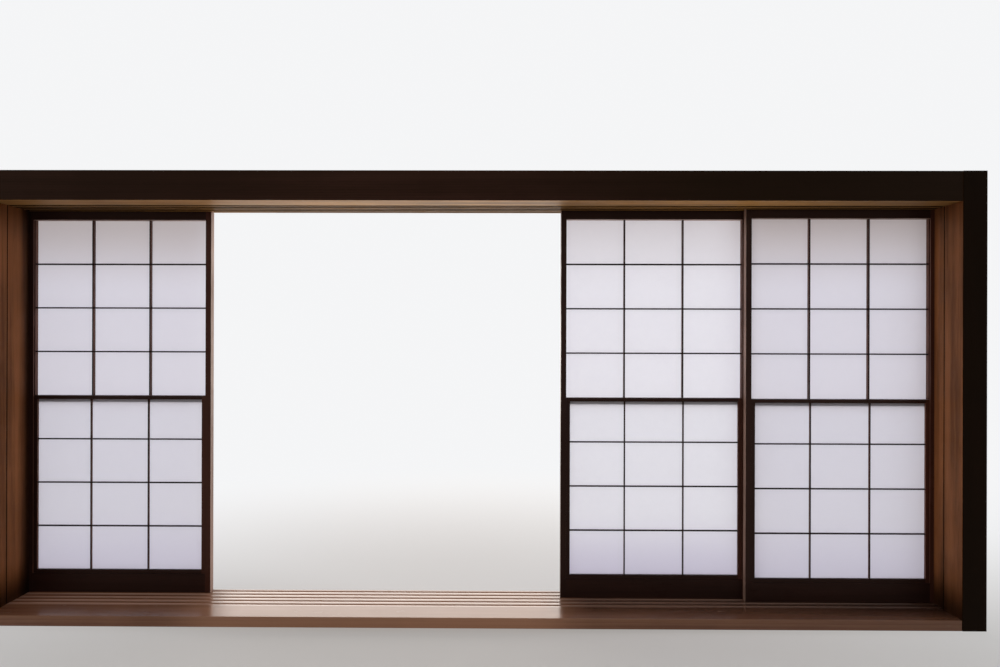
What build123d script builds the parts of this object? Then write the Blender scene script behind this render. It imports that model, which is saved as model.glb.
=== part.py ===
from build123d import *
import os

# Shoji screen in its frame: three sliding panels, each with a sash that lifts in front of its lattice.
# Millimetres. X runs along the opening, Y from the room to the outside, Z up.
# The origin is the middle of the frame's footprint, on the floor.

# Opening
opening_width = 4225.0
opening_height = 1800.0

# Tracks: five grooves run the whole length of the sill and the head
track_count = 5
tongue_thickness = 23.0
tongue_clearance = 0.5
track_gap = 3.0
plain_front = 130.0
back_rib = 15.0

# Frame members
sill_thickness = 45.0
sill_groove_depth = 3.0
head_thickness = 42.0
head_groove_depth = 15.0
post_width = 105.0
post_reveal = 8.0
post_chamfer = 3.0
beam_depth = 120.0
beam_height = 130.0
beam_tenon_length = 40.0
beam_tenon_thickness = 30.0
beam_tenon_margin = 20.0
spline_reach = 10.0
spline_thickness = 12.0
spline_height = 15.0
jamb_backing = 30.0
sill_nosing = 2.0

# Panel outline
panel_width = 866.0
stile_face = 25.0
top_rail_face = 38.0
middle_rail_face = 31.5
bottom_rail_height = 89.0
glass_upstand = 11.0
foot_gap = 1.0
head_gap = 4.0
head_tongue_height = 14.0
stile_chamfer = 1.2
closed_overlap = 21.5

# Layers through a panel, from the room to the outside
sash_inset = 3.0
sash_thickness = 12.5
pass_gap = 0.5
lattice_depth = 18.0
paper_rebate_depth = 2.0

# Upper lattice and its paper
columns = 3
rows = 4
lattice_face = 6.4
lattice_stub_depth = 9.0
lattice_stub_length = 4.0
paper_thickness = 0.4
paper_rebate_width = 6.0
paper_edge_gap = 0.5

# Pane behind the sash
glass_thickness = 3.0
glass_clearance = 0.3
glass_recess = 4.7
glass_lower_groove = 5.0
glass_upper_groove = 10.0
glass_lift_room = 5.5

# Lifting sash
sash_height = 839.0
sash_stile_face = 17.5
sash_top_rail_face = 17.0
sash_bottom_rail_face = 17.5
sash_side_gap = 0.5
sash_lattice_face = 5.7
sash_lattice_depth = 10.0
sash_stub_depth = 5.0
sash_stub_length = 3.0
sash_paper_rebate_width = 5.0
sash_paper_rebate_depth = 1.0
sash_tenon_thickness = 4.0
sash_tenon_length = 12.0
sash_tenon_margin = 3.0
runner_thickness = 7.0
runner_clearance = 0.5
runner_front = 3.0
runner_groove_depth = 6.0
runner_end_gap = 1.0

# Leaf springs that hold the sash at any height
spring_count = 2
spring_spacing = 560.0
spring_length = 90.0
spring_width = 5.0
spring_thickness = 0.4
spring_pocket_depth = 1.2

# Joinery
tenon_thickness = 12.0
tenon_cover = 5.0
tenon_margin = 14.0
middle_tenon_thickness = 7.0
middle_tenon_setback = 2.0
tenon_shoulder = 2.0
end_gap = 0.3
seat_gap = 0.3

# Worked out from the sizes above
lattice_front = sash_inset + sash_thickness + pass_gap
lattice_back = lattice_front + lattice_depth
panel_thickness = lattice_back + paper_rebate_depth
groove_width = tongue_thickness + 2 * tongue_clearance
track_pitch = panel_thickness + track_gap
groove_span = (track_count - 1) * track_pitch + groove_width
frame_depth = plain_front + groove_span + back_rib
post_depth = plain_front
room_face = -frame_depth / 2
sill_top = sill_thickness
head_bottom = sill_top + opening_height
post_height = head_bottom + beam_height
half_opening = opening_width / 2
half_between_posts = half_opening - post_reveal
half_length = half_opening + jamb_backing
groove_centres = [plain_front + groove_width / 2 + i * track_pitch for i in range(track_count)]

tongue_front = (panel_thickness - tongue_thickness) / 2
tongue_back = tongue_front + tongue_thickness
foot_bottom = seat_gap - sill_groove_depth
panel_top = opening_height - head_gap
tongue_top = panel_top + head_tongue_height
top_rail_bottom = panel_top - top_rail_face
sash_bottom = bottom_rail_height + seat_gap
sash_top = sash_bottom + sash_height
middle_rail_top = sash_top
middle_rail_bottom = middle_rail_top - middle_rail_face
glass_sill = bottom_rail_height + glass_upstand
inner_width = panel_width - 2 * stile_face
tenon_length = stile_face - tenon_cover
tenon_front = (panel_thickness - tenon_thickness) / 2
stub_front = lattice_front + (lattice_depth - lattice_stub_depth) / 2

glass_back = panel_thickness - glass_recess
glass_front = glass_back - glass_thickness
glass_groove_front = glass_front - glass_clearance
glass_groove_width = glass_thickness + 2 * glass_clearance
glass_groove_bottom = glass_sill - glass_lower_groove
glass_groove_top = middle_rail_bottom + glass_upper_groove

sash_back = sash_inset + sash_thickness
sash_paper_front = sash_back - sash_paper_rebate_depth
sash_lattice_front = sash_paper_front - sash_lattice_depth
sash_outer = stile_face + sash_side_gap
sash_inner = sash_outer + sash_stile_face
sash_inner_width = panel_width - 2 * sash_inner
sash_light_bottom = sash_bottom + sash_bottom_rail_face
sash_light_top = sash_top - sash_top_rail_face
sash_tenon_front = sash_inset + (sash_thickness - sash_tenon_thickness) / 2
sash_stub_front = sash_lattice_front + (sash_lattice_depth - sash_stub_depth) / 2
runner_edge = stile_face - runner_groove_depth + runner_end_gap
runner_face = sash_inset + runner_front

# Heights of the crossbars and places of the uprights, from the panel's lower left corner
crossbar_pitch = (top_rail_bottom - middle_rail_top) / rows
crossbar_heights = [middle_rail_top + crossbar_pitch * i for i in range(1, rows)]
upright_places = [stile_face + inner_width / columns * i for i in range(1, columns)]
sash_crossbar_pitch = (sash_top - sash_light_bottom) / rows
sash_crossbar_heights = [sash_light_bottom + sash_crossbar_pitch * i for i in range(1, rows)]

sash_middle = (sash_bottom + sash_top) / 2
spring_heights = [sash_middle + spring_spacing * (i - (spring_count - 1) / 2) for i in range(spring_count)]

# Tenons of a panel's rails: front face, thickness, bottom and top
bottom_tenon = (tenon_front, tenon_thickness, tenon_margin, bottom_rail_height - tenon_margin)
middle_tenon = (lattice_front + middle_tenon_setback, middle_tenon_thickness,
                glass_groove_top + tenon_shoulder, middle_rail_top - paper_rebate_width)
top_tenon = (tenon_front, tenon_thickness,
             top_rail_bottom + paper_rebate_width + tenon_shoulder, panel_top - tenon_shoulder)

corner = (Align.MIN, Align.MIN, Align.MIN)


def write(piece, name):
    piece.part.label = name
    export_step(piece.part, "parts/" + name + ".step")


# A plane whose sketch is a cross-section: its x runs outdoors, its y up, and it extrudes to the right
def section_plane(x, y, z):
    return Plane(origin=(x, y, z), x_dir=(0, 1, 0), z_dir=(1, 0, 0))


# A plane whose sketch is seen from above, and which extrudes upwards
def plan_plane(x, y, z):
    return Plane(origin=(x, y, z), x_dir=(1, 0, 0), z_dir=(0, 0, 1))


# Cut a box into a stile from its face at the given distance from the panel's side. Turn is 1 at the left stile.
def cut_into(face, turn, depth, front, width, bottom, top):
    with Locations((turn * (face - depth / 2), front + width / 2, (bottom + top) / 2)):
        Box(depth, width, top - bottom, mode=Mode.SUBTRACT)


# Sill: a broad plain front for the room, then the grooves, with its corners notched round the posts
def make_sill():
    with BuildPart() as sill:
        with BuildSketch(section_plane(-half_length, room_face, 0)):
            with Locations((post_chamfer, 0)):
                Rectangle(frame_depth - post_chamfer, sill_thickness, align=(Align.MIN, Align.MIN))
            with Locations(*[(c, sill_thickness) for c in groove_centres]):
                Rectangle(groove_width, 2 * sill_groove_depth, mode=Mode.SUBTRACT)
        extrude(amount=2 * half_length)
        front_edge = sill.edges().filter_by(Axis.X).group_by(Axis.Y)[0].sort_by(Axis.Z)[-1]
        chamfer(front_edge, sill_nosing)
        for side in (-1, 1):
            with BuildSketch(plan_plane(0, room_face, 0)):
                with Locations((side * (half_between_posts + post_width / 2), post_depth / 2)):
                    Rectangle(post_width, post_depth)
            extrude(amount=sill_thickness, mode=Mode.SUBTRACT)
    write(sill, "sill")


# Head: the grooved board over the tracks, with a spline along its front that enters the beam. Its front corners
# are notched round the posts.
def make_head():
    with BuildPart() as head:
        with BuildSketch(section_plane(-half_length, room_face, head_bottom)):
            with Locations((beam_depth, 0)):
                Rectangle(frame_depth - beam_depth, head_thickness, align=(Align.MIN, Align.MIN))
            with Locations(*[(c, 0) for c in groove_centres]):
                Rectangle(groove_width, 2 * head_groove_depth, mode=Mode.SUBTRACT)
        extrude(amount=2 * half_length)
        for side in (-1, 1):
            with BuildSketch(plan_plane(0, room_face, head_bottom)):
                with Locations((side * (half_between_posts + post_width / 2), post_depth / 2)):
                    Rectangle(post_width, post_depth)
            extrude(amount=head_thickness, mode=Mode.SUBTRACT)
        with BuildSketch(section_plane(-half_between_posts, room_face, head_bottom)):
            with Locations((beam_depth - spline_reach, spline_height)):
                Rectangle(spline_reach, spline_thickness, align=(Align.MIN, Align.MIN))
        extrude(amount=2 * half_between_posts)
    write(head, "head")


# Beam over the head, tenoned into the posts, set back by the posts' chamfer
def make_head_beam():
    with BuildPart() as beam:
        with BuildSketch(section_plane(-half_between_posts, room_face, head_bottom)):
            with Locations((post_chamfer, 0)):
                Rectangle(beam_depth - post_chamfer, beam_height, align=(Align.MIN, Align.MIN))
            with Locations((beam_depth - spline_reach - end_gap, spline_height)):
                Rectangle(spline_reach + end_gap, spline_thickness, align=(Align.MIN, Align.MIN),
                          mode=Mode.SUBTRACT)
        extrude(amount=2 * half_between_posts)
        chamfer(beam.edges().filter_by(Axis.X).group_by(Axis.Y)[0], sill_nosing)
        with BuildSketch(section_plane(-half_between_posts - beam_tenon_length, room_face, head_bottom)):
            with Locations((beam_depth / 2, beam_height / 2)):
                Rectangle(beam_tenon_thickness, beam_height - 2 * beam_tenon_margin)
        extrude(amount=2 * (half_between_posts + beam_tenon_length))
    write(beam, "head_beam")


# Post beside the opening, side -1 on the left and 1 on the right, with the beam's mortise
def make_post(side, name):
    centre = side * (half_between_posts + post_width / 2)
    mortise_start = half_between_posts if side > 0 else -half_between_posts - beam_tenon_length - end_gap
    with BuildPart() as post:
        with BuildSketch(plan_plane(centre, room_face + post_depth / 2, 0)):
            Rectangle(post_width, post_depth)
        extrude(amount=post_height)
        chamfer(post.edges().filter_by(Axis.Z), post_chamfer)
        with BuildSketch(section_plane(mortise_start, room_face, head_bottom)):
            with Locations((beam_depth / 2, beam_height / 2)):
                Rectangle(beam_tenon_thickness, beam_height - 2 * beam_tenon_margin)
        extrude(amount=beam_tenon_length + end_gap, mode=Mode.SUBTRACT)
    write(post, name)


# Jamb board behind the post and flush with it, with a groove that the closed panel's stile enters.
# Its front arris is chamfered as the post's is, so that the joint shows as a dark line.
def make_jamb(side, name, track):
    with BuildPart() as jamb:
        with BuildSketch(plan_plane(0, room_face, sill_top)):
            with BuildLine():
                Polyline(
                    (side * (half_between_posts + post_chamfer), post_depth),
                    (side * half_length, post_depth),
                    (side * half_length, frame_depth),
                    (side * half_between_posts, frame_depth),
                    (side * half_between_posts, post_depth + post_chamfer),
                    close=True,
                )
            make_face()
            with Locations((side * half_between_posts, groove_centres[track])):
                Rectangle(2 * post_reveal, panel_thickness + 2 * tongue_clearance, mode=Mode.SUBTRACT)
        extrude(amount=opening_height)
    write(jamb, name)


# Stile of a panel, turn 1 for the left one and -1 for the right one.
# Its side view carries the tongues, and its inner face the sash's groove, the pane's and the mortises.
def make_stile(x, y, turn, name):
    with BuildPart(Plane((x, y, sill_top))) as stile:
        with BuildSketch(section_plane(x if turn > 0 else x - stile_face, y, sill_top)):
            with BuildLine():
                Polyline(
                    (tongue_front, foot_bottom),
                    (tongue_back, foot_bottom),
                    (tongue_back, foot_gap),
                    (panel_thickness, foot_gap),
                    (panel_thickness, panel_top),
                    (tongue_back, panel_top),
                    (tongue_back, tongue_top),
                    (tongue_front, tongue_top),
                    (tongue_front, panel_top),
                    (0, panel_top),
                    (0, foot_gap),
                    (tongue_front, foot_gap),
                    close=True,
                )
            make_face()
        extrude(amount=stile_face)
        outer_edges = stile.edges().filter_by(Axis.Z).group_by(SortBy.LENGTH)[-1].group_by(Axis.X)
        chamfer(outer_edges[0] if turn > 0 else outer_edges[-1], stile_chamfer)

        # Runner groove, pane groove and the paper's rebate
        cut_into(stile_face, turn, runner_groove_depth, runner_face - runner_clearance,
                 runner_thickness + 2 * runner_clearance, bottom_rail_height, top_rail_bottom)
        cut_into(stile_face, turn, glass_lower_groove, glass_groove_front, glass_groove_width,
                 glass_groove_bottom, glass_groove_top)
        cut_into(stile_face, turn, paper_rebate_width, lattice_back, paper_rebate_depth,
                 middle_rail_top - paper_rebate_width, top_rail_bottom + paper_rebate_width)
        # Mortises of the three rails, then the housings of the crossbars
        mortise_depth = tenon_length + end_gap
        for front, thickness, bottom, top in (bottom_tenon, middle_tenon, top_tenon):
            cut_into(stile_face, turn, mortise_depth, front, thickness, bottom, top)
        for height in crossbar_heights:
            cut_into(stile_face, turn, lattice_stub_length + end_gap, stub_front, lattice_stub_depth,
                     height - lattice_face / 2, height + lattice_face / 2)
    write(stile, name)


# Tenons on both ends of a rail
def add_tenons(front, thickness, bottom, top):
    with Locations((panel_width / 2, front + thickness / 2, (bottom + top) / 2)):
        Box(inner_width + 2 * tenon_length, thickness, top - bottom)


# Housings for the uprights' stubs in a rail's face at the given height, cut upwards or downwards
def cut_housings(height, direction):
    depth = lattice_stub_length + end_gap
    for place in upright_places:
        with Locations((place, stub_front + lattice_stub_depth / 2, height + direction * depth / 2)):
            Box(lattice_face, lattice_stub_depth, depth, mode=Mode.SUBTRACT)


def make_top_rail(x, y, name):
    with BuildPart(Plane((x, y, sill_top))) as rail:
        with BuildSketch(section_plane(x + stile_face, y, sill_top)):
            with BuildLine():
                Polyline(
                    (0, top_rail_bottom),
                    (lattice_back, top_rail_bottom),
                    (lattice_back, top_rail_bottom + paper_rebate_width),
                    (panel_thickness, top_rail_bottom + paper_rebate_width),
                    (panel_thickness, panel_top),
                    (tongue_back, panel_top),
                    (tongue_back, tongue_top),
                    (tongue_front, tongue_top),
                    (tongue_front, panel_top),
                    (0, panel_top),
                    close=True,
                )
            make_face()
        extrude(amount=inner_width)
        add_tenons(*top_tenon)
        cut_housings(top_rail_bottom, 1)
    write(rail, name)


# Middle rail, in the outer layer only, so that the sash passes in front of it
def make_middle_rail(x, y, name):
    with BuildPart(Plane((x, y, sill_top))) as rail:
        with BuildSketch(section_plane(x + stile_face, y, sill_top)):
            with BuildLine():
                Polyline(
                    (lattice_front, middle_rail_bottom),
                    (glass_groove_front, middle_rail_bottom),
                    (glass_groove_front, glass_groove_top),
                    (glass_groove_front + glass_groove_width, glass_groove_top),
                    (glass_groove_front + glass_groove_width, middle_rail_bottom),
                    (panel_thickness, middle_rail_bottom),
                    (panel_thickness, middle_rail_top - paper_rebate_width),
                    (lattice_back, middle_rail_top - paper_rebate_width),
                    (lattice_back, middle_rail_top),
                    (lattice_front, middle_rail_top),
                    close=True,
                )
            make_face()
        extrude(amount=inner_width)
        add_tenons(*middle_tenon)
        cut_housings(middle_rail_top, -1)
    write(rail, name)


# Bottom rail: a ledge in front for the sash, and an upstand behind it that holds the pane
def make_bottom_rail(x, y, name):
    with BuildPart(Plane((x, y, sill_top))) as rail:
        with BuildSketch(section_plane(x + stile_face, y, sill_top)):
            with BuildLine():
                Polyline(
                    (tongue_front, foot_bottom),
                    (tongue_back, foot_bottom),
                    (tongue_back, foot_gap),
                    (panel_thickness, foot_gap),
                    (panel_thickness, glass_sill),
                    (glass_groove_front + glass_groove_width, glass_sill),
                    (glass_groove_front + glass_groove_width, glass_groove_bottom),
                    (glass_groove_front, glass_groove_bottom),
                    (glass_groove_front, glass_sill),
                    (lattice_front, glass_sill),
                    (lattice_front, bottom_rail_height),
                    (0, bottom_rail_height),
                    (0, foot_gap),
                    (tongue_front, foot_gap),
                    close=True,
                )
            make_face()
        extrude(amount=inner_width)
        add_tenons(*bottom_tenon)
    write(rail, name)


# Upright bars, halved at the back where the crossbars pass
def make_uprights(x, y, name, face, front, depth, stub_start, stub_depth, stub_length, bottom, top, heights):
    with BuildPart(Plane((x, y, sill_top))) as bars:
        for place in upright_places:
            with Locations((place, front + depth / 2, (bottom + top) / 2)):
                Box(face, depth, top - bottom)
            with Locations((place, stub_start + stub_depth / 2, (bottom + top) / 2)):
                Box(face, stub_depth, top - bottom + 2 * stub_length)
            for height in heights:
                with Locations((place, front + depth * 3 / 4, height)):
                    Box(face, depth / 2, face, mode=Mode.SUBTRACT)
    write(bars, name)


# Crossbars, halved at the front where the uprights pass
def make_crossbars(x, y, name, face, front, depth, stub_start, stub_depth, stub_length, left, right, heights):
    with BuildPart(Plane((x, y, sill_top))) as bars:
        for height in heights:
            with Locations(((left + right) / 2, front + depth / 2, height)):
                Box(right - left, depth, face)
            with Locations(((left + right) / 2, stub_start + stub_depth / 2, height)):
                Box(right - left + 2 * stub_length, stub_depth, face)
            for place in upright_places:
                with Locations((place, front + depth / 4, height)):
                    Box(face, depth / 2, face, mode=Mode.SUBTRACT)
    write(bars, name)


# Flat sheet between two corners, such as paper or glass
def make_sheet(x, y, name, front, thickness, left, right, bottom, top):
    with BuildPart(Plane((x, y, sill_top))) as sheet:
        with Locations((left, front, bottom)):
            Box(right - left, thickness, top - bottom, align=corner)
    write(sheet, name)


# Stile of the lifting sash, with the runner that slides in the panel's stile
def make_sash_stile(x, y, turn, name, sprung):
    with BuildPart(Plane((x, y, sill_top))) as stile:
        with BuildSketch(plan_plane(x, y, sill_top + sash_bottom)):
            with BuildLine():
                Polyline(
                    (turn * runner_edge, runner_face),
                    (turn * sash_outer, runner_face),
                    (turn * sash_outer, sash_inset),
                    (turn * sash_inner, sash_inset),
                    (turn * sash_inner, sash_back),
                    (turn * sash_outer, sash_back),
                    (turn * sash_outer, runner_face + runner_thickness),
                    (turn * runner_edge, runner_face + runner_thickness),
                    close=True,
                )
            make_face()
        extrude(amount=sash_height)

        # The paper's rebate, the rails' mortises and the crossbars' housings
        cut_into(sash_inner, turn, sash_paper_rebate_width, sash_paper_front, sash_paper_rebate_depth,
                 sash_light_bottom - sash_paper_rebate_width, sash_light_top + sash_paper_rebate_width)
        for bottom, top in ((sash_bottom, sash_light_bottom), (sash_light_top, sash_top)):
            cut_into(sash_inner, turn, sash_tenon_length + end_gap, sash_tenon_front, sash_tenon_thickness,
                     bottom + sash_tenon_margin, top - sash_tenon_margin)
        for height in sash_crossbar_heights:
            cut_into(sash_inner, turn, sash_stub_length + end_gap, sash_stub_front, sash_stub_depth,
                     height - sash_lattice_face / 2, height + sash_lattice_face / 2)
        if sprung:
            for height in spring_heights:
                cut_into(runner_edge + spring_pocket_depth, turn, spring_pocket_depth,
                         runner_face, runner_thickness,
                         height - spring_length / 2, height + spring_length / 2)
    write(stile, name)


# Top or bottom rail of the sash: the light side is where the paper's rebate is
def make_sash_rail(x, y, name, bottom, top, light_side):
    rebate = sash_paper_rebate_width
    rebate_bottom = bottom if light_side < 0 else top - rebate
    with BuildPart(Plane((x, y, sill_top))) as rail:
        with Locations((sash_inner, sash_inset, bottom)):
            Box(sash_inner_width, sash_thickness, top - bottom, align=corner)
        with Locations((sash_inner, sash_paper_front, rebate_bottom)):
            Box(sash_inner_width, sash_paper_rebate_depth, rebate, align=corner, mode=Mode.SUBTRACT)
        with Locations((panel_width / 2, sash_tenon_front + sash_tenon_thickness / 2, (bottom + top) / 2)):
            Box(sash_inner_width + 2 * sash_tenon_length, sash_tenon_thickness,
                top - bottom - 2 * sash_tenon_margin)
        depth = sash_stub_length + end_gap
        face = bottom if light_side < 0 else top
        for place in upright_places:
            with Locations((place, sash_stub_front + sash_stub_depth / 2, face - light_side * depth / 2)):
                Box(sash_lattice_face, sash_stub_depth, depth, mode=Mode.SUBTRACT)
    write(rail, name)


# Bowed leaf springs in pockets of the sash's left runner, their crowns at the groove's floor
def make_springs(x, y, name):
    crown = stile_face - runner_groove_depth + seat_gap
    root = runner_edge + spring_pocket_depth - spring_thickness
    reach = spring_length / 2 - seat_gap
    with BuildPart() as springs:
        for height in spring_heights:
            middle = sill_top + height
            spring_plane = Plane(origin=(x, y + runner_face + (runner_thickness + spring_width) / 2, middle),
                                 x_dir=(1, 0, 0), z_dir=(0, -1, 0))
            with BuildSketch(spring_plane):
                with BuildLine():
                    ThreePointArc((root, -reach), (crown, 0), (root, reach))
                    Line((root, reach), (root + spring_thickness, reach))
                    ThreePointArc((root + spring_thickness, reach), (crown + spring_thickness, 0),
                                  (root + spring_thickness, -reach))
                    Line((root + spring_thickness, -reach), (root, -reach))
                make_face()
            extrude(amount=spring_width)
    write(springs, name)


def make_panel(name, x, track):
    y = room_face + groove_centres[track] - panel_thickness / 2
    piece = name + "_panel_"
    make_stile(x, y, 1, piece + "left_stile")
    make_stile(x + panel_width, y, -1, piece + "right_stile")
    make_top_rail(x, y, piece + "top_rail")
    make_middle_rail(x, y, piece + "middle_rail")
    make_bottom_rail(x, y, piece + "bottom_rail")
    make_uprights(x, y, piece + "uprights", lattice_face, lattice_front, lattice_depth,
                  stub_front, lattice_stub_depth, lattice_stub_length,
                  middle_rail_top, top_rail_bottom, crossbar_heights)
    make_crossbars(x, y, piece + "crossbars", lattice_face, lattice_front, lattice_depth,
                   stub_front, lattice_stub_depth, lattice_stub_length,
                   stile_face, panel_width - stile_face, crossbar_heights)
    paper_margin = paper_rebate_width - paper_edge_gap
    make_sheet(x, y, piece + "paper", lattice_back, paper_thickness,
               stile_face - paper_margin, panel_width - stile_face + paper_margin,
               middle_rail_top - paper_margin, top_rail_bottom + paper_margin)
    glass_margin = glass_lower_groove - seat_gap
    make_sheet(x, y, piece + "glass", glass_front, glass_thickness,
               stile_face - glass_margin, panel_width - stile_face + glass_margin,
               glass_groove_bottom + seat_gap, glass_groove_top - glass_lift_room)

    piece = name + "_sash_"
    make_sash_stile(x, y, 1, piece + "left_stile", True)
    make_sash_stile(x + panel_width, y, -1, piece + "right_stile", False)
    make_sash_rail(x, y, piece + "top_rail", sash_light_top, sash_top, -1)
    make_sash_rail(x, y, piece + "bottom_rail", sash_bottom, sash_light_bottom, 1)
    make_uprights(x, y, piece + "uprights", sash_lattice_face, sash_lattice_front, sash_lattice_depth,
                  sash_stub_front, sash_stub_depth, sash_stub_length,
                  sash_light_bottom, sash_light_top, sash_crossbar_heights)
    make_crossbars(x, y, piece + "crossbars", sash_lattice_face, sash_lattice_front, sash_lattice_depth,
                   sash_stub_front, sash_stub_depth, sash_stub_length,
                   sash_inner, panel_width - sash_inner, sash_crossbar_heights)
    paper_margin = sash_paper_rebate_width - paper_edge_gap
    make_sheet(x, y, piece + "paper", sash_paper_front, paper_thickness,
               sash_inner - paper_margin, panel_width - sash_inner + paper_margin,
               sash_light_bottom - paper_margin, sash_light_top + paper_margin)
    make_springs(x, y, piece + "springs")


os.makedirs("parts", exist_ok=True)
make_sill()
make_head()
make_head_beam()
make_post(-1, "left_post")
make_post(1, "right_post")

# The left panel stands in the left jamb's groove on the track furthest from the room, and the right one in the
# right jamb's, two tracks nearer. The middle one is on the track between, just behind the right panel.
left_track = track_count - 1
middle_track = track_count - 2
right_track = track_count - 3
left_place = -half_opening + seat_gap
right_place = half_opening - seat_gap - panel_width
middle_place = right_place + closed_overlap - panel_width
make_jamb(-1, "left_jamb", left_track)
make_jamb(1, "right_jamb", right_track)
make_panel("left", left_place, left_track)
make_panel("middle", middle_place, middle_track)
make_panel("right", right_place, right_track)
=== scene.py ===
import math

import bmesh
import bpy
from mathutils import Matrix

# Shoji screen in its frame: stained wood, pasted paper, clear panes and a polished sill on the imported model.
# Metres, with X along the opening, Y from the room to the outside and Z up.
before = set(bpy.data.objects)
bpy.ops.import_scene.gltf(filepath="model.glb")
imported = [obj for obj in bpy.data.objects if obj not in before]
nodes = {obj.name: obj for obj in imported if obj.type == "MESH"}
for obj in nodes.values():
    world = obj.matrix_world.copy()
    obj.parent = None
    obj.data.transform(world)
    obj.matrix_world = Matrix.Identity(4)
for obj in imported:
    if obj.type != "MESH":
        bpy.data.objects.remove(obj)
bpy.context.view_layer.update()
panelNames = ("left", "middle", "right")

# A fade is given as where it starts, where it ends, its value at the start and its value at the end
noiseSpread = (0.3, 0.7, 0.0, 1.0)  # noise seldom leaves 0.3 to 0.7


# Helpers for shader trees: a socket is linked, anything else is set as the value
def feed(tree, socket, value):
    if isinstance(value, bpy.types.NodeSocket):
        tree.links.new(value, socket)
    elif socket.type == "RGBA" and len(value) == 3:
        socket.default_value = (*value, 1.0)
    else:
        socket.default_value = value


def addNode(tree, kind, inputs=None, **settings):
    node = tree.nodes.new(kind)
    for key, value in settings.items():
        setattr(node, key, value)
    for key, value in (inputs or {}).items():
        feed(tree, node.inputs[key], value)
    return node


def addMath(tree, operation, *values):
    return addNode(tree, "ShaderNodeMath", dict(enumerate(values)), operation=operation).outputs[0]


def addVector(tree, operation, output, *values):
    return addNode(tree, "ShaderNodeVectorMath", dict(enumerate(values)), operation=operation).outputs[output]


def addRange(tree, value, low, high, toLow, toHigh, smooth=False):
    inputs = {"Value": value, "From Min": low, "From Max": high, "To Min": toLow, "To Max": toHigh}
    kind = "SMOOTHSTEP" if smooth else "LINEAR"
    return addNode(tree, "ShaderNodeMapRange", inputs, interpolation_type=kind).outputs["Result"]


def addFade(tree, value, fade):
    return addRange(tree, value, *fade, smooth=True)


def addMix(tree, share, a, b):
    return addNode(tree, "ShaderNodeMix", {0: share, 6: a, 7: b}, data_type="RGBA").outputs[2]


def addNoise(tree, vector, scale, detail=2.0, distortion=0.0):
    inputs = {"Vector": vector, "Scale": scale, "Detail": detail, "Distortion": distortion}
    return addNode(tree, "ShaderNodeTexNoise", inputs).outputs["Fac"]


def addSplit(tree, vector):
    return addNode(tree, "ShaderNodeSeparateXYZ", {0: vector}).outputs


def addTurn(tree, vector, angle, axis):
    inputs = {"Vector": vector, "Angle": angle}
    return addNode(tree, "ShaderNodeVectorRotate", inputs, rotation_type=axis + "_AXIS").outputs[0]


def addBump(tree, height, strength, distance):
    inputs = {"Height": height, "Strength": strength, "Distance": distance}
    return addNode(tree, "ShaderNodeBump", inputs).outputs["Normal"]


def mixShaders(tree, share, first, second):
    inputs = {0: share, 1: first.outputs[0], 2: second.outputs[0]}
    return addNode(tree, "ShaderNodeMixShader", inputs).outputs[0]


def placeGroup(tree, group, inputs):
    node = addNode(tree, "ShaderNodeGroup", node_tree=group)
    for key, value in inputs.items():
        feed(tree, node.inputs[key], value)
    return node.outputs


def newGroup(name, inputs, outputs):
    group = bpy.data.node_groups.new(name, "ShaderNodeTree")
    for label, kind, value in inputs:
        socket = group.interface.new_socket(name=label, in_out="INPUT", socket_type="NodeSocket" + kind)
        if value is not None:
            socket.default_value = value
    for label, kind in outputs:
        group.interface.new_socket(name=label, in_out="OUTPUT", socket_type="NodeSocket" + kind)
    return group, group.nodes.new("NodeGroupInput").outputs, group.nodes.new("NodeGroupOutput").inputs


def newMaterial(name):
    material = bpy.data.materials.new(name)
    material.use_nodes = True
    tree = material.node_tree
    return material, tree, tree.nodes["Principled BSDF"], tree.nodes["Material Output"]


def setMaterial(piece, material):
    piece.data.materials.clear()
    piece.data.materials.append(material)


# Straight softwood grain along the vector's x: broad bands, growth rings and fine fibres
grainLook = {"drawnOut": (0.05, 1.0, 1.0), "bandScale": 22.0, "ringTurn": 38, "ringDetailScale": 0.35,
             "ringRoughness": 0.6, "lateWoodSharpness": 2.5, "fibreScale": (14.0, 900.0, 900.0),
             "middleTone": 0.3, "bandTone": 0.55, "ringTone": -0.35, "fibreTone": 0.25, "ringRelief": 0.5}


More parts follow.
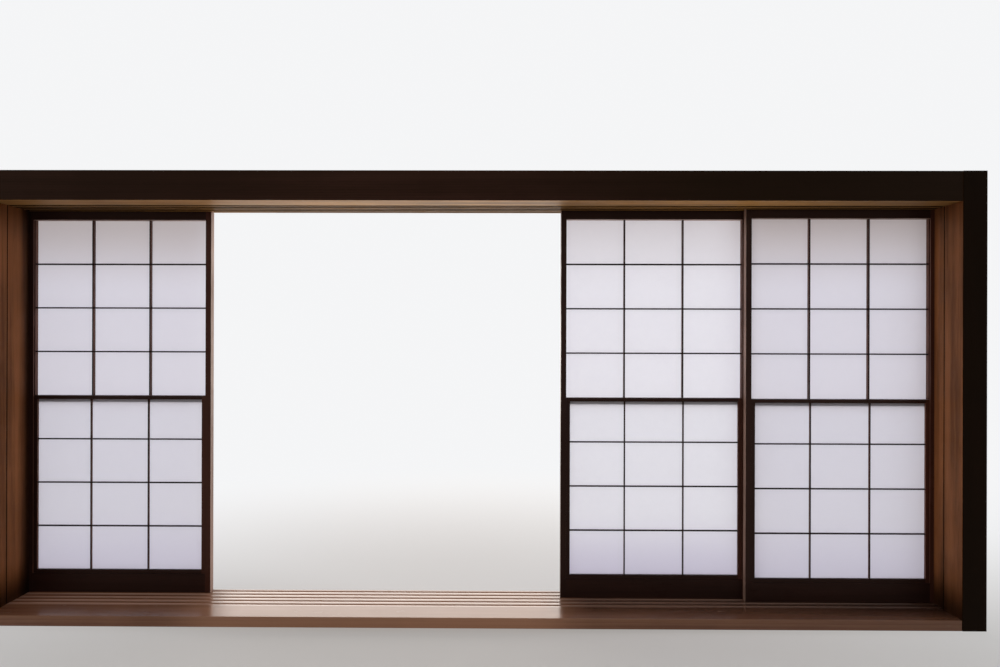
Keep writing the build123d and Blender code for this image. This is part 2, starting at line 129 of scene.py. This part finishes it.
def makeGrainGroup():
    group, given, result = newGroup(
        "straightGrain",
        (("Vector", "Vector", None), ("Ring Width", "Float", 0.006), ("Waviness", "Float", 2.0)),
        (("Tone", "Float"), ("Fibre", "Float")),
    )
    drawn = addVector(group, "MULTIPLY", 0, given["Vector"], grainLook["drawnOut"])
    bands = addRange(group, addNoise(group, drawn, grainLook["bandScale"], 3.0), *noiseSpread)
    turned = addTurn(group, drawn, math.radians(grainLook["ringTurn"]), "X")
    ringScale = addMath(group, "DIVIDE", math.tau / 20, given["Ring Width"])  # a band has 20 radians a unit
    waves = {"Vector": turned, "Scale": ringScale, "Distortion": given["Waviness"], "Detail": 2.0,
             "Detail Scale": grainLook["ringDetailScale"], "Detail Roughness": grainLook["ringRoughness"]}
    rings = addNode(group, "ShaderNodeTexWave", waves, wave_type="BANDS", bands_direction="Y",
                    wave_profile="SAW").outputs["Fac"]
    lateWood = addMath(group, "POWER", rings, grainLook["lateWoodSharpness"])
    fine = addVector(group, "MULTIPLY", 0, given["Vector"], grainLook["fibreScale"])
    fibres = addRange(group, addNoise(group, fine, 1.0), *noiseSpread)
    tone = addMath(group, "MULTIPLY_ADD", bands, grainLook["bandTone"], grainLook["middleTone"])
    tone = addMath(group, "MULTIPLY_ADD", lateWood, grainLook["ringTone"], tone)
    tone = addMath(group, "MULTIPLY_ADD", fibres, grainLook["fibreTone"], tone)
    relief = addMath(group, "MULTIPLY_ADD", lateWood, grainLook["ringRelief"], fibres)
    group.links.new(addRange(group, tone, 0.0, 1.0, 0.0, 1.0), result["Tone"])
    group.links.new(relief, result["Fibre"])
    return group


# Masks: rubbed arrises, faces that look to a side, chamfers, and uneven stain in soft patches
maskLook = {"rubbed": (0.99, 0.82, 0.0, 1.0), "rubbedScale": 9.0, "rubbedPatches": (0.45, 0.68, 0.0, 1.0),
            "facing": (0.8, 0.97, 0.0, 1.0), "slanted": (0.96, 0.75, 0.0, 1.0),
            "patches": (0.32, 0.68, 0.0, 1.0), "patchDistortion": 0.4, "smallPatches": 9.0}


def makeEdgeGroup():
    group, given, result = newGroup(
        "rubbedEdges",
        (("Vector", "Vector", None), ("Width", "Float", 0.0015)),
        (("Mask", "Float"),),
    )
    rounded = addNode(group, "ShaderNodeBevel", {"Radius": given["Width"]}, samples=4).outputs[0]
    flat = addNode(group, "ShaderNodeNewGeometry").outputs["Normal"]
    edge = addFade(group, addVector(group, "DOT_PRODUCT", "Value", rounded, flat), maskLook["rubbed"])
    noise = addNoise(group, given["Vector"], maskLook["rubbedScale"], 4.0)
    patches = addFade(group, noise, maskLook["rubbedPatches"])
    group.links.new(addMath(group, "MULTIPLY", edge, patches), result["Mask"])
    return group


def makeFacingGroup():
    group, given, result = newGroup(
        "facesTowards",
        (("Normal", "Vector", None), ("Side", "Vector", None)),
        (("Mask", "Float"),),
    )
    likeness = addVector(group, "DOT_PRODUCT", "Value", given["Normal"], given["Side"])
    group.links.new(addFade(group, likeness, maskLook["facing"]), result["Mask"])
    return group


def makeSlantGroup():
    group, given, result = newGroup("slantedFaces", (("Normal", "Vector", None),), (("Mask", "Float"),))
    size = addSplit(group, addVector(group, "ABSOLUTE", 0, given["Normal"]))
    largest = addMath(group, "MAXIMUM", addMath(group, "MAXIMUM", size["X"], size["Y"]), size["Z"])
    group.links.new(addFade(group, largest, maskLook["slanted"]), result["Mask"])
    return group


def makePatchGroup():
    group, given, result = newGroup(
        "softPatches",
        (("Vector", "Vector", None), ("Size", "Float", 0.2)),
        (("Large", "Float"), ("Small", "Float")),
    )
    scale = addMath(group, "DIVIDE", 1.0, given["Size"])
    large = addNoise(group, given["Vector"], scale, 3.0, maskLook["patchDistortion"])
    small = addNoise(group, given["Vector"], addMath(group, "MULTIPLY", scale, maskLook["smallPatches"]), 4.0)
    group.links.new(addFade(group, large, maskLook["patches"]), result["Large"])
    group.links.new(addFade(group, small, maskLook["patches"]), result["Small"])
    return group


grainGroup = makeGrainGroup()
edgeGroup = makeEdgeGroup()
facingGroup = makeFacingGroup()
slantGroup = makeSlantGroup()
patchGroup = makePatchGroup()

# Stains: the side to the room is nearly black; the tones further down give other faces warmer, lighter
# colours, most of them painted daylight
woodFinish = {
    "frame": {
        "dark": (0.013, 0.0050, 0.0040), "light": (0.041, 0.0170, 0.0135), "bare": (0.08, 0.038, 0.025),
        "ringWidth": 0.007, "waviness": 2.5, "satin": 0.36, "dull": 0.52, "uneven": 0.10,
        "specular": 0.12, "gloss": (1.0, 0.66, 0.32), "coat": 0.0,
        "edgeWidth": 0.002, "edgeWear": 0.02, "paintedShade": 0.8, "relief": 0.10,
    },
    "panel": {
        "dark": (0.010, 0.0036, 0.0028), "light": (0.031, 0.0120, 0.0090), "bare": (0.08, 0.040, 0.027),
        "ringWidth": 0.004, "waviness": 1.5, "satin": 0.34, "dull": 0.50, "uneven": 0.10,
        "specular": 0.18, "gloss": (1.0, 0.76, 0.64), "coat": 0.0,
        "edgeWidth": 0.001, "edgeWear": 0.03, "paintedShade": 0.6, "relief": 0.08,
    },
    "lattice": {
        "dark": (0.005, 0.0020, 0.0016), "light": (0.015, 0.0060, 0.0046), "bare": (0.07, 0.035, 0.024),
        "ringWidth": 0.0025, "waviness": 0.8, "satin": 0.34, "dull": 0.48, "uneven": 0.10,
        "specular": 0.18, "gloss": (1.0, 0.80, 0.70), "coat": 0.0,
        "edgeWidth": 0.0006, "edgeWear": 0.02, "paintedShade": 0.5, "relief": 0.06,
    },
    "sill": {
        "dark": (0.125, 0.048, 0.025), "light": (0.265, 0.122, 0.066), "bare": (0.32, 0.19, 0.120),
        "ringWidth": 0.011, "waviness": 3.5, "satin": 0.22, "dull": 0.26, "uneven": 0.03,
        "specular": 0.42, "gloss": (1.0, 0.84, 0.72), "coat": 0.15,
        "edgeWidth": 0.0025, "edgeWear": 0.12, "paintedShade": 0.0, "relief": 0.03,
    },
}
woodFinish["post"] = dict(woodFinish["frame"], dark=(0.0020, 0.0007, 0.0005), light=(0.0065, 0.0022, 0.0017),
                          specular=0.08)
woodFinish["leftPost"] = dict(woodFinish["post"], paintedShade=0.2)
# A lighter copy of the panel stain for the right-hand stiles and the middle rail: painted light
woodFinish["handled"] = dict(woodFinish["panel"], dark=(0.026, 0.0082, 0.0052), light=(0.072, 0.0240, 0.0150))
woodMake = {"patchSize": 0.45, "darkPatches": 0.28, "reliefHeight": 0.0006, "coatRoughness": 0.12}

# Tones given to some faces: painted daylight, painted shade and the tracks' wear in the sill's grooves, and
# the places where they come and go
daylit = {
    "revealRight": (0.400, 0.150, 0.056),  # inner faces of the posts and jambs, painted daylight
    "revealRightDeep": (0.155, 0.058, 0.024),  # the same where the daylight seldom comes
    "revealLeft": (0.400, 0.146, 0.052),
    "revealLeftDeep": (0.028, 0.0105, 0.0055),
    "soffit": (0.680, 0.345, 0.090),  # undersides of the beam and head, painted golden light from outside below
    "paintedWarmLight": (0.580, 0.370, 0.285),  # outer edges of the stiles and undersides of rails, painted warm daylight
    "litSide": (0.230, 0.105, 0.072),  # sides of bars and stiles that face the paper's glow
    "outside": (0.095, 0.046, 0.029),
    # lighter groove walls and floors: painted light, with the polish of the tracks' wear
    "groove": (0.520, 0.300, 0.215),
    "paintedPanelShadow": (0.020, 0.008, 0.006),  # painted shadow on the sill where the panels mostly stand
    "paintedGapLight": (0.620, 0.330, 0.200),  # painted pool of daylight on the sill where it lies open
    "paintedShade": (0.003, 0.0014, 0.0011),  # painted shade on chamfers and at the beam's ends
}
# How far the painted daylight reaches: it gives way to painted shade toward the beam's ends, deep in the
# reveals, at their foot and under the beam
faceToneSettings = {
    "streaks": (0.25, 0.75),  # tones of the grain at which a streak is faint and full
    "faintStreak": 0.3,
    "soffitRoughness": 0.54,
    "soffitAside": (1.3, 2.15, 1.0, 0.5),
    "revealDepth": (0.03, 0.11, 0.0, 1.0),
    "revealFoot": (0.06, 0.24, 0.15, 1.0),
    "revealTop": (1.60, 1.86, 1.0, 0.6),
}


# Paints tones onto faces by where they look: painted daylight on most, fading to painted shade
def toneFacesAndPaintLight(tree, place, grain, blends, colour, rough):
    spot = addSplit(tree, place["Object"])
    for side, tone, strength in blends:
        facing = placeGroup(tree, facingGroup, {"Normal": place["Normal"], "Side": side})["Mask"]
        faint = faceToneSettings["faintStreak"] * strength
        streaks = addRange(tree, grain["Tone"], *faceToneSettings["streaks"], faint, strength)
        share = addMath(tree, "MULTIPLY", facing, streaks)
        shown = daylit[tone]
        if tone == "soffit":
            rough = addRange(tree, facing, 0.0, 1.0, rough, faceToneSettings["soffitRoughness"])
            # painted shade: the golden underside dims toward the beam's ends
            aside = addFade(tree, addMath(tree, "ABSOLUTE", spot["X"]), faceToneSettings["soffitAside"])
            share = addMath(tree, "MULTIPLY", share, aside)
        if tone.startswith("reveal"):
            # painted shade deep in the reveal, at its foot and under the beam
            deep = addFade(tree, spot["Y"], faceToneSettings["revealDepth"])
            shown = addMix(tree, deep, daylit[tone], daylit[tone + "Deep"])
            share = addMath(tree, "MULTIPLY", share, addFade(tree, spot["Z"], faceToneSettings["revealFoot"]))
            share = addMath(tree, "MULTIPLY", share, addFade(tree, spot["Z"], faceToneSettings["revealTop"]))
        colour = addMix(tree, share, colour, shown)
    return colour, rough


# Touches that come after the stain, each from one colour to the next: rubbed edges, painted shade at the
# beam's ends, and on the sill worn grooves with painted light, a painted pool of daylight and painted shadow
def rubEdges(tree, shader, place, finish, colour):
    edges = placeGroup(tree, edgeGroup, {"Vector": place["Object"], "Width": finish["edgeWidth"]})
    return addMix(tree, addMath(tree, "MULTIPLY", edges["Mask"], finish["edgeWear"]), colour, finish["bare"])


# Painted shade: the beam's front darkens toward both ends
beamFront = {"side": (0.0, -1.0, 0.0),
             "darkRight": (0.1, 1.2, 0.0, 0.78), "darkLeft": (-0.3, -1.3, 0.0, 0.34)}


def paintShadeOnBeamEnds(tree, shader, place, finish, colour):
    spot = addSplit(tree, place["Object"])
    front = placeGroup(tree, facingGroup, {"Normal": place["Normal"], "Side": beamFront["side"]})["Mask"]
    ends = addMath(tree, "ADD", addFade(tree, spot["X"], beamFront["darkRight"]),
                   addFade(tree, spot["X"], beamFront["darkLeft"]))
    return addMix(tree, addMath(tree, "MULTIPLY", ends, front), colour, daylit["paintedShade"])


sillUse = {
    "grooves": (0.0448, 0.0435, 0.0, 0.7), "grooveCoat": 0.9, "tracksFrom": -0.034,
    "gapLightFrom": (-1.40, -1.05, 0.0, 0.35), "gapLightTo": (0.22, 0.55, 1.0, 0.0),
    "shadedFrom": (0.28, 0.56, 0.0, 0.58), "shadedMore": (1.0, 2.0, 0.0, 0.27),
    "shadedFront": (-0.17, -0.05, 0.2, 1.0),
}


def useSill(tree, shader, place, finish, colour):
    spot = addSplit(tree, place["Object"])
    tracks = addMath(tree, "GREATER_THAN", spot["Y"], sillUse["tracksFrom"])
    # Groove walls and floors: painted light, with the polished coat of the tracks' wear
    grooveWearAndLight = addMath(tree, "MULTIPLY", addFade(tree, spot["Z"], sillUse["grooves"]), tracks)
    colour = addMix(tree, grooveWearAndLight, colour, daylit["groove"])
    polish = addRange(tree, grooveWearAndLight, 0.0, sillUse["grooves"][3], finish["coat"], sillUse["grooveCoat"])
    feed(tree, shader.inputs["Coat Weight"], polish)
    # Painted pool of daylight on the open stretch of the sill
    litGap = addMath(tree, "MULTIPLY", addFade(tree, spot["X"], sillUse["gapLightFrom"]),
                      addFade(tree, spot["X"], sillUse["gapLightTo"]))
    colour = addMix(tree, litGap, colour, daylit["paintedGapLight"])
    # Painted shadow where the panels stand, deeper toward the tracks
    shaded = addMath(tree, "ADD", addFade(tree, spot["X"], sillUse["shadedFrom"]),
                     addFade(tree, spot["X"], sillUse["shadedMore"]))
    shaded = addMath(tree, "MULTIPLY", shaded, addRange(tree, spot["Y"], *sillUse["shadedFront"]))
    return addMix(tree, shaded, colour, daylit["paintedPanelShadow"])


def makeWood(name, finish, grainAlong, blends, touches=(rubEdges,)):
    material, tree, shader, _ = newMaterial(name)
    shader.inputs["Specular IOR Level"].default_value = finish["specular"]
    shader.inputs["Specular Tint"].default_value = (*finish["gloss"], 1.0)
    shader.inputs["Coat Weight"].default_value = finish["coat"]
    shader.inputs["Coat Roughness"].default_value = woodMake["coatRoughness"]
    place = addNode(tree, "ShaderNodeTexCoord").outputs
    along = addNode(tree, "ShaderNodeMapping", {"Vector": place["Object"]})
    if grainAlong == "Z":
        along.inputs["Rotation"].default_value = (0.0, math.radians(90), 0.0)
    grain = placeGroup(tree, grainGroup, {"Vector": along.outputs[0], "Ring Width": finish["ringWidth"],
                                          "Waviness": finish["waviness"]})
    patches = placeGroup(tree, patchGroup, {"Vector": place["Object"], "Size": woodMake["patchSize"]})
    uneven = addMath(tree, "SUBTRACT", patches["Small"], grain["Fibre"])
    rough = addMath(tree, "MULTIPLY_ADD", uneven, finish["uneven"],
                    addRange(tree, patches["Large"], 0.0, 1.0, finish["dull"], finish["satin"]))
    colour = addMix(tree, grain["Tone"], finish["dark"], finish["light"])
    colour, rough = toneFacesAndPaintLight(tree, place, grain, blends, colour, rough)
    darker = addRange(tree, patches["Large"], 0.0, 1.0, woodMake["darkPatches"], 0.0)
    colour = addMix(tree, darker, colour, finish["dark"])
    for touch in touches:
        colour = touch(tree, shader, place, finish, colour)
    # Painted shade on chamfers and other slanted faces
    slanted = placeGroup(tree, slantGroup, {"Normal": place["Normal"]})["Mask"]
    colour = addMix(tree, addMath(tree, "MULTIPLY", slanted, finish["paintedShade"]), colour, daylit["paintedShade"])
    relief = addBump(tree, grain["Fibre"], finish["relief"], woodMake["reliefHeight"])
    feed(tree, shader.inputs["Base Color"], colour)
    feed(tree, shader.inputs["Roughness"], rough)
    feed(tree, shader.inputs["Normal"], relief)
    return material


back = ((0.0, 1.0, 0.0), "outside", 0.6)
right = (1.0, 0.0, 0.0)
left = (-1.0, 0.0, 0.0)
down = (0.0, 0.0, -1.0)
woods = {
    "frameAlong": makeWood("frameWoodAlong", woodFinish["frame"], "X", [back, (down, "soffit", 0.85)],
                           (paintShadeOnBeamEnds, rubEdges)),
    "frameLeft": makeWood("frameWoodLeft", woodFinish["leftPost"], "Z", [back, (right, "revealLeft", 0.9)]),
    "frameRight": makeWood("frameWoodRight", woodFinish["post"], "Z", [back, (left, "revealRight", 0.9)]),
    "panelAlong": makeWood("panelWoodAlong", woodFinish["panel"], "X", [back, (down, "paintedWarmLight", 0.85)]),
    "middleRail": makeWood("middleRailWood", woodFinish["handled"], "X", [back, (down, "paintedWarmLight", 0.85)]),
    "panelLeft": makeWood("panelWoodLeft", woodFinish["panel"], "Z",
                          [back, (left, "paintedWarmLight", 0.85), (right, "litSide", 0.85)]),
    "panelRight": makeWood("panelWoodRight", woodFinish["handled"], "Z",
                           [back, (right, "paintedWarmLight", 0.85), (left, "litSide", 0.85)]),
    "latticeAlong": makeWood("latticeWoodAlong", woodFinish["lattice"], "X", [back]),
    "latticeUpright": makeWood("latticeWoodUpright", woodFinish["lattice"], "Z",
                               [back, (left, "litSide", 0.7), (right, "litSide", 0.7)]),
    "sill": makeWood("sillWood", woodFinish["sill"], "X", [back], (rubEdges, useSill)),
}
print("wood finishes made:", len(woods))

# Pasted paper: long mulberry fibres in a cloudy sheet that lets the daylight through
fibreLook = {"cloudDetail": 5.0, "cloudDistortion": 0.6, "drawnOut": (0.35, 1.0, 1.6), "distortion": 0.9,
             "thickness": 0.012, "turnsAndScales": ((0.4, 55.0), (1.3, 70.0), (2.2, 62.0), (2.9, 80.0))}
paperLook = {
    "colour": (0.926, 0.926, 0.970), "thin": (0.950, 0.950, 0.990), "thinShare": 0.5, "cloudSize": 0.035,
    "fibre": (0.80, 0.775, 0.77), "fibreShare": 0.08, "relief": 0.25, "reliefHeight": 0.0003,
    # outer panels: painted shade of the daylight falling off at the sides
    "outer": (0.815, 0.805, 0.870), "outerFrom": (1.1, 1.4, 0.0, 1.0), "outerShare": 0.5,
    # painted shade toward the top
    "paintedTopShade": (0.70, 0.660, 0.655), "topShadeHeight": (1.45, 1.85, 0.0, 0.8), "topShadeInner": 0.4,
    # painted shade along the bottom
    "low": (0.83, 0.815, 0.905), "lowHeight": (0.45, 0.15, 0.0, 0.95), "lowOuter": 0.7,
    "through": 0.79, "matt": (0.82, 0.95), "specular": 0.25,
}


def makeFibreGroup():
    group, given, result = newGroup(
        "mulberryFibres",
        (("Vector", "Vector", None), ("Cloud Size", "Float", 0.05)),
        (("Clouds", "Float"), ("Fibres", "Float")),
    )
    clouds = addNoise(group, given["Vector"], addMath(group, "DIVIDE", 1.0, given["Cloud Size"]),
                      fibreLook["cloudDetail"], fibreLook["cloudDistortion"])
    strands = None
    for turn, scale in fibreLook["turnsAndScales"]:
        turned = addTurn(group, given["Vector"], turn, "Y")
        drawn = addVector(group, "MULTIPLY", 0, turned, fibreLook["drawnOut"])
        noise = addNoise(group, drawn, scale, 1.0, fibreLook["distortion"])
        middle = addMath(group, "ABSOLUTE", addMath(group, "SUBTRACT", noise, 0.5))
        strand = addFade(group, middle, (0.0, fibreLook["thickness"], 1.0, 0.0))
        strands = strand if strands is None else addMath(group, "MAXIMUM", strands, strand)
    group.links.new(addRange(group, clouds, *noiseSpread), result["Clouds"])
    group.links.new(strands, result["Fibres"])
    return group


def makePaper():
    material, tree, shader, output = newMaterial("mulberryPaper")
    shader.inputs["Specular IOR Level"].default_value = paperLook["specular"]
    place = addNode(tree, "ShaderNodeTexCoord").outputs["Object"]
    fibres = placeGroup(tree, makeFibreGroup(), {"Vector": place, "Cloud Size": paperLook["cloudSize"]})
    thin = addRange(tree, fibres["Clouds"], 0.0, 1.0, 0.0, paperLook["thinShare"])
    colour = addMix(tree, thin, paperLook["colour"], paperLook["thin"])
    spot = addSplit(tree, place)
    # Painted shade: the outer panels' paper is darker and bluer
    outer = addFade(tree, addMath(tree, "ABSOLUTE", spot["X"]), paperLook["outerFrom"])
    outerShare = addMath(tree, "MULTIPLY", outer, paperLook["outerShare"])
    colour = addMix(tree, outerShare, colour, paperLook["outer"])
    # Painted shade toward the top, stronger on the outer panels
    paintedTopShade = addMath(tree, "MULTIPLY", addFade(tree, spot["Z"], paperLook["topShadeHeight"]),
                   addRange(tree, outer, 0.0, 1.0, paperLook["topShadeInner"], 1.0))
    colour = addMix(tree, paintedTopShade, colour, paperLook["paintedTopShade"])
    # Painted shade along the bottom, weaker on the outer panels
    low = addMath(tree, "MULTIPLY", addFade(tree, spot["Z"], paperLook["lowHeight"]),
                  addRange(tree, outer, 0.0, 1.0, 1.0, paperLook["lowOuter"]))
    colour = addMix(tree, low, colour, paperLook["low"])
    strands = addMath(tree, "MULTIPLY", fibres["Fibres"], paperLook["fibreShare"])
    colour = addMix(tree, strands, colour, paperLook["fibre"])
    feed(tree, shader.inputs["Base Color"], colour)
    feed(tree, shader.inputs["Roughness"], addRange(tree, fibres["Clouds"], 0.0, 1.0, *paperLook["matt"]))
    relief = addBump(tree, fibres["Fibres"], paperLook["relief"], paperLook["reliefHeight"])
    feed(tree, shader.inputs["Normal"], relief)
    glow = addNode(tree, "ShaderNodeBsdfTranslucent", {"Color": colour})
    feed(tree, output.inputs["Surface"], mixShaders(tree, paperLook["through"], shader, glow))
    return material


# Clear pane: light on its way to other surfaces goes straight through, and eyes and gloss meet real glass
glassLook = {"tint": (0.95, 0.975, 0.965), "ior": 1.5, "filmScale": 6.0, "film": (0.35, 0.75, 0.0, 0.05),
             "passing": (0.975, 0.98, 0.98)}


def makeGlass():
    material, tree, shader, output = newMaterial("clearPane")
    shader.inputs["Base Color"].default_value = (*glassLook["tint"], 1.0)
    shader.inputs["Transmission Weight"].default_value = 1.0
    shader.inputs["IOR"].default_value = glassLook["ior"]
    place = addNode(tree, "ShaderNodeTexCoord").outputs["Object"]
    film = addNoise(tree, place, glassLook["filmScale"], 4.0, 0.5)
    feed(tree, shader.inputs["Roughness"], addFade(tree, film, glassLook["film"]))
    path = addNode(tree, "ShaderNodeLightPath").outputs
    light = addMath(tree, "MAXIMUM", path["Is Shadow Ray"], path["Is Diffuse Ray"])
    clear = addNode(tree, "ShaderNodeBsdfTransparent", {"Color": glassLook["passing"]})
    feed(tree, output.inputs["Surface"], mixShaders(tree, light, shader, clear))
    return material


steelLook = {"brushing": (1500.0, 1500.0, 12.0), "dark": (0.48, 0.48, 0.47), "light": (0.66, 0.65, 0.63),
             "roughness": (0.3, 0.7, 0.22, 0.40)}


def makeSpringSteel():
    material, tree, shader, _ = newMaterial("springSteel")
    shader.inputs["Metallic"].default_value = 1.0
    place = addNode(tree, "ShaderNodeTexCoord").outputs["Object"]
    brushed = addNoise(tree, addVector(tree, "MULTIPLY", 0, place, steelLook["brushing"]), 1.0, 3.0)
    feed(tree, shader.inputs["Base Color"], addMix(tree, brushed, steelLook["dark"], steelLook["light"]))
    feed(tree, shader.inputs["Roughness"], addRange(tree, brushed, *steelLook["roughness"]))
    return material


paper = makePaper()
glass = makeGlass()
springSteel = makeSpringSteel()
print("paper, glass and steel made")

# The finish of each wooden part, and how far its edges are eased
easing = {"frame": 0.0008, "jamb": 0.0006, "panel": 0.0005, "lattice": 0.0003, "segments": 2,
          "merge": 0.00001, "flatWithin": 0.5, "cornersFrom": 30}
frameWoods = {"sill": "sill", "head": "frameAlong", "head_beam": "frameAlong", "left_post": "frameLeft",
              "right_post": "frameRight", "left_jamb": "frameLeft", "right_jamb": "frameRight"}
panelWoods = {"left_stile": "panelLeft", "right_stile": "panelRight", "top_rail": "panelAlong",
              "middle_rail": "middleRail", "bottom_rail": "panelAlong", "uprights": "latticeUpright",
              "crossbars": "latticeAlong"}


def easeEdges(piece, width):
    piece.modifiers.new("joinedCorners", "WELD").merge_threshold = easing["merge"]
    flat = piece.modifiers.new("flatFaces", "DECIMATE")
    flat.decimate_type = "DISSOLVE"
    flat.angle_limit = math.radians(easing["flatWithin"])
    bevel = piece.modifiers.new("easedEdges", "BEVEL")
    bevel.width = width
    bevel.segments = easing["segments"]
    bevel.limit_method = "ANGLE"
    bevel.angle_limit = math.radians(easing["cornersFrom"])


def finishPart(name, wood, kind):
    setMaterial(nodes[name], woods[wood])
    easeEdges(nodes[name], easing[kind])


for name, wood in frameWoods.items():
    finishPart(name, wood, "jamb" if name.endswith("jamb") else "frame")
for panel in panelNames:
    for carrier in ("_panel_", "_sash_"):
        for part, wood in panelWoods.items():
            if panel + carrier + part in nodes:  # a sash has no middle rail
                finishPart(panel + carrier + part, wood, "lattice" if wood.startswith("lattice") else "panel")
        setMaterial(nodes[panel + carrier + "paper"], paper)
    setMaterial(nodes[panel + "_panel_glass"], glass)
    setMaterial(nodes[panel + "_sash_springs"], springSteel)
print("finishes put on the frame and panels")

# Studio: a pale floor that fades into the backdrop, soft daylight from outside and less light from the room
studio = {
    "floorRadius": 90.0, "floorColour": (0.85, 0.81, 0.76), "floorRoughness": 0.9, "floorSpecular": 0.1,
    "floorFade": (0.4, 3.6, 0.35, 1.0), "outward": (-0.35, 0.6, 0.0, 1.0),
    "roomBackdrop": (0.56, 0.555, 0.55), "outsideBackdrop": (0.91, 0.915, 0.925),
    "roomLight": (0.50, 0.485, 0.475), "outsideLight": (0.73, 0.78, 0.945),
    "overheadLight": (0.30, 0.30, 0.31), "overhead": (0.30, 0.62, 0.0, 1.0),
    "lampPlace": (0.3, 3.6, 1.15), "lampSize": (5.8, 2.1), "lampPower": 82.0,
    "lampColour": (1.0, 0.905, 0.82),
}


# How far a direction looks outdoors, from 0 in the room to 1 outside
def makeOutwardGroup():
    group, given, result = newGroup("outwardShare", (("Direction", "Vector", None),), (("Share", "Float"),))
    outward = addSplit(group, addVector(group, "NORMALIZE", 0, given["Direction"]))["Y"]
    group.links.new(addFade(group, outward, studio["outward"]), result["Share"])
    return group


outwardGroup = makeOutwardGroup()


def seenRays(tree):
    path = addNode(tree, "ShaderNodeLightPath").outputs
    through = addMath(tree, "MAXIMUM", path["Is Glossy Ray"], path["Is Transmission Ray"])
    return addMath(tree, "MAXIMUM", path["Is Camera Ray"], through)


def makeFloor():
    mesh = bpy.data.meshes.new("studioFloor")
    shape = bmesh.new()
    bmesh.ops.create_circle(shape, cap_ends=True, segments=96, radius=studio["floorRadius"])
    shape.to_mesh(mesh)
    shape.free()
    floor = bpy.data.objects.new("studioFloor", mesh)
    bpy.context.scene.collection.objects.link(floor)
    material, tree, shader, output = newMaterial("paleFloor")
    shader.inputs["Base Color"].default_value = (*studio["floorColour"], 1.0)
    shader.inputs["Roughness"].default_value = studio["floorRoughness"]
    shader.inputs["Specular IOR Level"].default_value = studio["floorSpecular"]
    place = addNode(tree, "ShaderNodeTexCoord").outputs["Object"]
    share = placeGroup(tree, outwardGroup, {"Direction": place})["Share"]
    blends = addFade(tree, addVector(tree, "LENGTH", "Value", place), studio["floorFade"])
    backdrop = addMix(tree, share, studio["roomBackdrop"], studio["outsideBackdrop"])
    shown = addNode(tree, "ShaderNodeEmission", {"Color": backdrop, "Strength": 1.0})
    hidden = addMath(tree, "MULTIPLY", blends, seenRays(tree))
    feed(tree, output.inputs["Surface"], mixShaders(tree, hidden, shader, shown))
    setMaterial(floor, material)


def makeWorld():
    world = bpy.data.worlds.new("softStudio")
    bpy.context.scene.world = world
    world.use_nodes = True
    tree = world.node_tree
    tree.nodes.clear()
    direction = addNode(tree, "ShaderNodeTexCoord").outputs["Generated"]
    share = placeGroup(tree, outwardGroup, {"Direction": direction})["Share"]
    upward = addSplit(tree, addVector(tree, "NORMALIZE", 0, direction))["Z"]
    overhead = addFade(tree, upward, studio["overhead"])  # less daylight comes from straight above
    daylight = addMix(tree, overhead, studio["outsideLight"], studio["overheadLight"])
    lightColour = addMix(tree, share, studio["roomLight"], daylight)
    backdrop = addMix(tree, share, studio["roomBackdrop"], studio["outsideBackdrop"])
    light = addNode(tree, "ShaderNodeBackground", {"Color": lightColour, "Strength": 1.0})
    shown = addNode(tree, "ShaderNodeBackground", {"Color": backdrop, "Strength": 1.0})
    output = addNode(tree, "ShaderNodeOutputWorld")
    feed(tree, output.inputs["Surface"], mixShaders(tree, seenRays(tree), light, shown))


# Soft box outside, as one lamp that shines to the room and one that shines away, to light the floor evenly
def makeLamps():
    for name, turn in (("lampToRoom", -90), ("lampAway", 90)):
        lampData = bpy.data.lights.new(name, "AREA")
        lampData.shape = "RECTANGLE"
        lampData.size, lampData.size_y = studio["lampSize"]
        lampData.energy = studio["lampPower"]
        lampData.color = studio["lampColour"]
        lamp = bpy.data.objects.new(name, lampData)
        lamp.location = studio["lampPlace"]
        lamp.rotation_euler = (math.radians(turn), 0.0, 0.0)
        lamp.visible_camera = False
        lamp.visible_transmission = False
        bpy.context.scene.collection.objects.link(lamp)


makeFloor()
makeWorld()
makeLamps()
bpy.context.scene.view_settings.view_transform = "Standard"

# Camera where the photograph was taken from, turned in degrees from a level view along Y
viewpoint = {"place": (0.1414, -3.1746, 1.2705), "pitch": 0.018, "roll": -0.147, "yaw": 0.404,
             "lens": 25.195, "sensor": 36.0, "nearest": 0.05, "furthest": 300.0}
cameraData = bpy.data.cameras.new("viewpoint")
cameraData.lens = viewpoint["lens"]
cameraData.sensor_width = viewpoint["sensor"]
cameraData.clip_start = viewpoint["nearest"]
cameraData.clip_end = viewpoint["furthest"]
camera = bpy.data.objects.new("viewpoint", cameraData)
camera.location = viewpoint["place"]
turns = (90 + viewpoint["pitch"], viewpoint["roll"], viewpoint["yaw"])
camera.rotation_euler = [math.radians(turn) for turn in turns]
bpy.context.scene.collection.objects.link(camera)
bpy.context.scene.camera = camera
print("studio and camera set")
